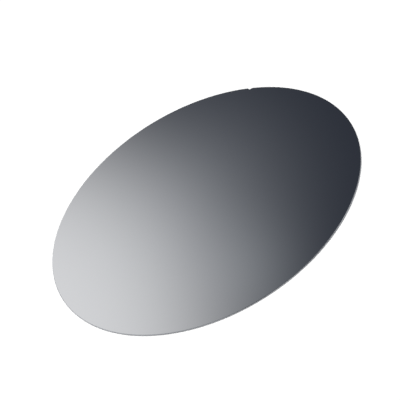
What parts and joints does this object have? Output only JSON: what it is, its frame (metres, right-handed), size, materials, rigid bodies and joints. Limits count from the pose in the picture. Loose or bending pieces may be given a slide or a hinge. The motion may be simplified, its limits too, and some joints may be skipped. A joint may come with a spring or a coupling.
{
  "type": "silicon wafer",
  "caption": "Thin round silicon disc with a mirror-polished front, an etched back, a ground rounded edge and a small V notch in the rim.",
  "frame": {"origin": "centre of the back face, on the disc's own axis", "axes": "+Z out of the polished front face; the V notch in the rim faces -Y"},
  "size_m": [0.2, 0.2, 0.0007],
  "materials": {
    "silicon": "polished"
  },
  "bodies": {
    "root": {"wafer": "silicon"}
  },
  "joints": []
}
